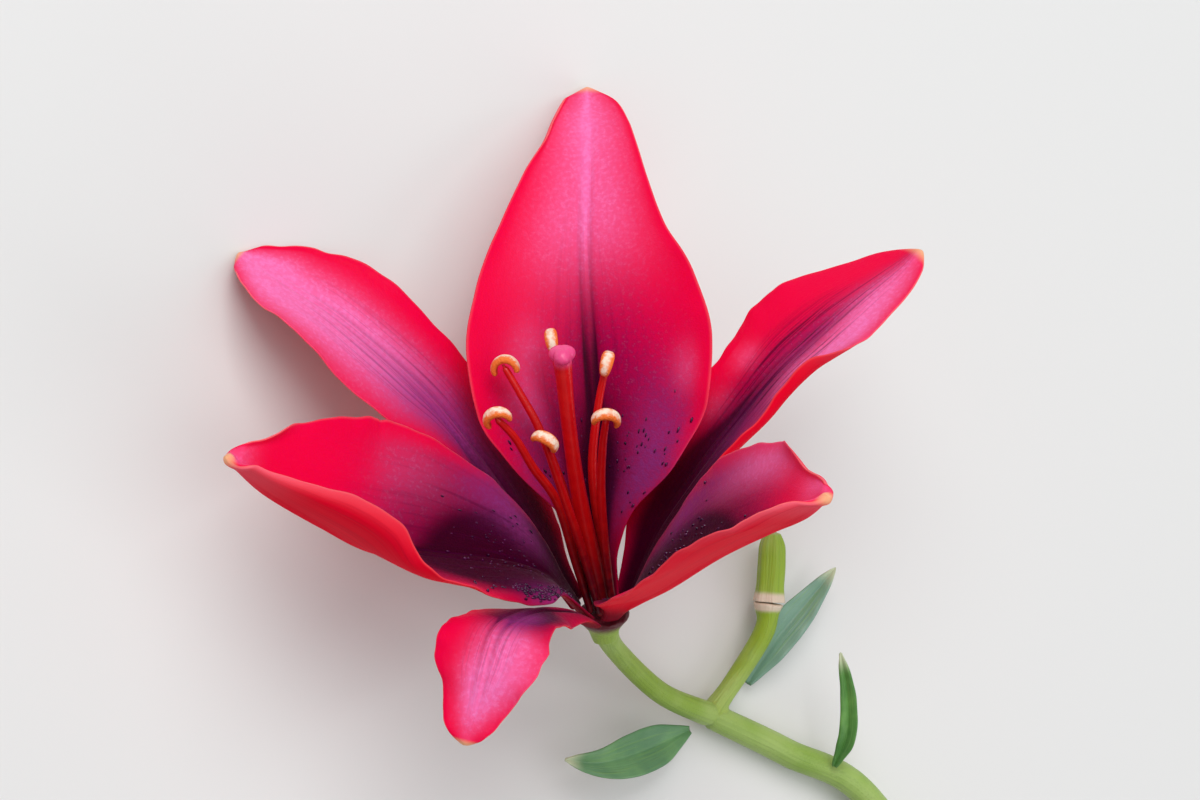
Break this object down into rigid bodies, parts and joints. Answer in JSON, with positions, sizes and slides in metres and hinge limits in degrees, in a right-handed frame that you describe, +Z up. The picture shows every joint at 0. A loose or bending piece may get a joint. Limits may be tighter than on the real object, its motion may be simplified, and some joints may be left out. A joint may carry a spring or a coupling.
{
  "type": "asiatic lily, single cut flower",
  "caption": "Open red asiatic lily on its cut stem, lying on a surface: broad recurved tepals, slender stamens with curled anthers, a knobbed pistil, small leaves and a spent flower's pedicel.",
  "frame": {"origin": "centre of the object's bounding box in plan, on the surface that it lies on", "axes": "+Z up from the surface, +Y toward the top tepal's tip, away from the stem's cut end, +X toward the side of the stem"},
  "size_m": [0.1842, 0.2348, 0.1039],
  "materials": {
    "petal": "velvety, soft sheen",
    "filament": "smooth, satin",
    "anther": "matt, grainy with pollen",
    "pistil": "smooth, satin",
    "stem": "smooth, satin",
    "leaf": "waxy, satin"
  },
  "bodies": {
    "root": {"tepal_top": "petal", "tepal_upper_right": "petal", "tepal_right": "petal", "tepal_bottom": "petal", "tepal_left": "petal", "tepal_upper_left": "petal", "filament_back": "filament", "anther_back": "anther", "filament_upper_left": "filament", "anther_upper_left": "anther", "filament_left": "filament", "anther_left": "anther", "filament_front": "filament", "anther_front": "anther", "filament_right_front": "filament", "anther_right_front": "anther", "filament_right_back": "filament", "anther_right_back": "anther", "pistil": "pistil", "stem": "stem", "spent_ovary": "stem", "leaf_left": "leaf", "leaf_right": "leaf", "bract": "leaf"}
  },
  "joints": []
}
